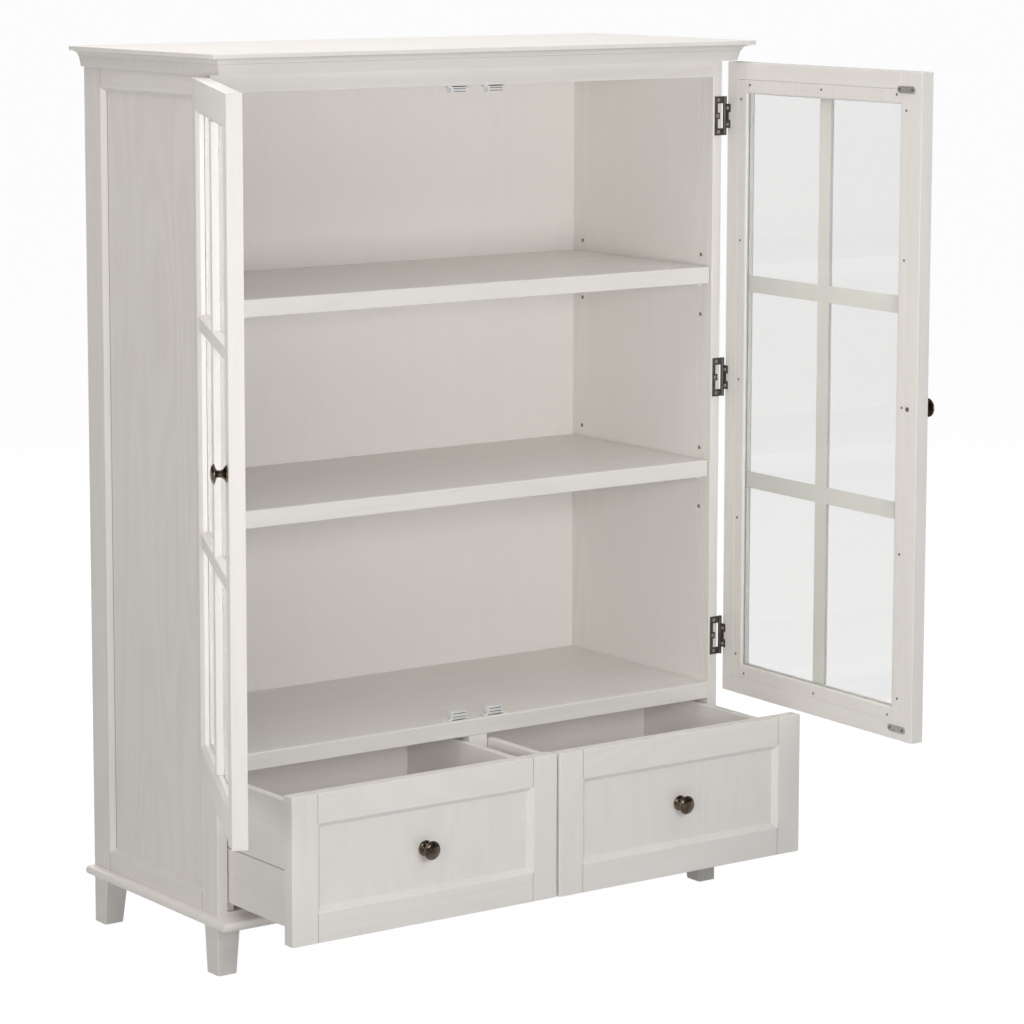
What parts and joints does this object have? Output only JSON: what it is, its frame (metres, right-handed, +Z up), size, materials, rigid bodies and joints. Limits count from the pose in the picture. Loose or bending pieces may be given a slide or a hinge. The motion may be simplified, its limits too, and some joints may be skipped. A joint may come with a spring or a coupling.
{
  "type": "glass-door china cabinet",
  "caption": "Free-standing painted wooden china cabinet: glazed doors with glazing bars over shelves, drawers below, on tapered feet.",
  "frame": {"origin": "middle of the footprint of the cabinet as it stands with its doors and drawers open, at floor level", "axes": "+X to the right seen from the front, +Y to the back, +Z up"},
  "size_m": [1.1932, 0.8246, 1.327],
  "materials": {
    "painted_wood": "satin ivory-white paint over brushed pine",
    "clear_glass": "clear, polished",
    "bronze_knobs": "antique bronze, slightly rubbed",
    "dark_hinges": "dark bronzed steel"
  },
  "bodies": {
    "case": {"left_side_frame": "painted_wood", "left_side_panel": "painted_wood", "left_front_foot": "painted_wood", "left_rear_foot": "painted_wood", "left_outer_runner": "painted_wood", "left_inner_runner": "painted_wood", "right_side_frame": "painted_wood", "right_side_panel": "painted_wood", "right_front_foot": "painted_wood", "right_rear_foot": "painted_wood", "right_outer_runner": "painted_wood", "right_inner_runner": "painted_wood", "bottom_board": "painted_wood", "centre_divider": "painted_wood", "deck": "painted_wood", "lower_shelf": "painted_wood", "upper_shelf": "painted_wood", "ceiling_board": "painted_wood", "back_panel": "painted_wood", "cornice": "painted_wood", "base_moulding": "painted_wood", "top_board": "painted_wood", "left_case_bottom_hinge_leaf": "dark_hinges", "left_case_middle_hinge_leaf": "dark_hinges", "left_case_top_hinge_leaf": "dark_hinges", "right_case_bottom_hinge_leaf": "dark_hinges", "right_case_middle_hinge_leaf": "dark_hinges", "right_case_top_hinge_leaf": "dark_hinges"},
    "left_door": {"left_door_hinge_stile": "painted_wood", "left_door_lock_stile": "painted_wood", "left_door_top_rail": "painted_wood", "left_door_bottom_rail": "painted_wood", "left_door_glass": "clear_glass", "left_door_glazing_bars": "painted_wood", "left_door_knob": "bronze_knobs", "left_door_bottom_hinge_leaf": "dark_hinges", "left_door_middle_hinge_leaf": "dark_hinges", "left_door_top_hinge_leaf": "dark_hinges"},
    "right_door": {"right_door_hinge_stile": "painted_wood", "right_door_lock_stile": "painted_wood", "right_door_top_rail": "painted_wood", "right_door_bottom_rail": "painted_wood", "right_door_glass": "clear_glass", "right_door_glazing_bars": "painted_wood", "right_door_knob": "bronze_knobs", "right_door_bottom_hinge_leaf": "dark_hinges", "right_door_middle_hinge_leaf": "dark_hinges", "right_door_top_hinge_leaf": "dark_hinges"},
    "left_drawer": {"left_drawer_front": "painted_wood", "left_drawer_knob": "bronze_knobs", "left_drawer_outer_side": "painted_wood", "left_drawer_inner_side": "painted_wood", "left_drawer_back": "painted_wood", "left_drawer_bottom": "painted_wood"},
    "right_drawer": {"right_drawer_front": "painted_wood", "right_drawer_knob": "bronze_knobs", "right_drawer_outer_side": "painted_wood", "right_drawer_inner_side": "painted_wood", "right_drawer_back": "painted_wood", "right_drawer_bottom": "painted_wood"}
  },
  "joints": [
    {"name": "left_door_hinge", "type": "hinge", "parent": "case", "child": "left_door", "pos_m": [-0.36234, 0.05216, 0.804], "axis": [0, 0, -1], "range_deg": [-115.6, 59.4]},
    {"name": "right_door_hinge", "type": "hinge", "parent": "case", "child": "right_door", "pos_m": [0.56806, 0.05216, 0.804], "axis": [0, 0, 1], "range_deg": [-87.9, 87.1]},
    {"name": "left_drawer_slide", "type": "slide", "parent": "case", "child": "left_drawer", "axis": [0, -1, 0], "range_m": [-0.177, 0.073]},
    {"name": "right_drawer_slide", "type": "slide", "parent": "case", "child": "right_drawer", "axis": [0, -1, 0], "range_m": [-0.18, 0.07]}
  ]
}
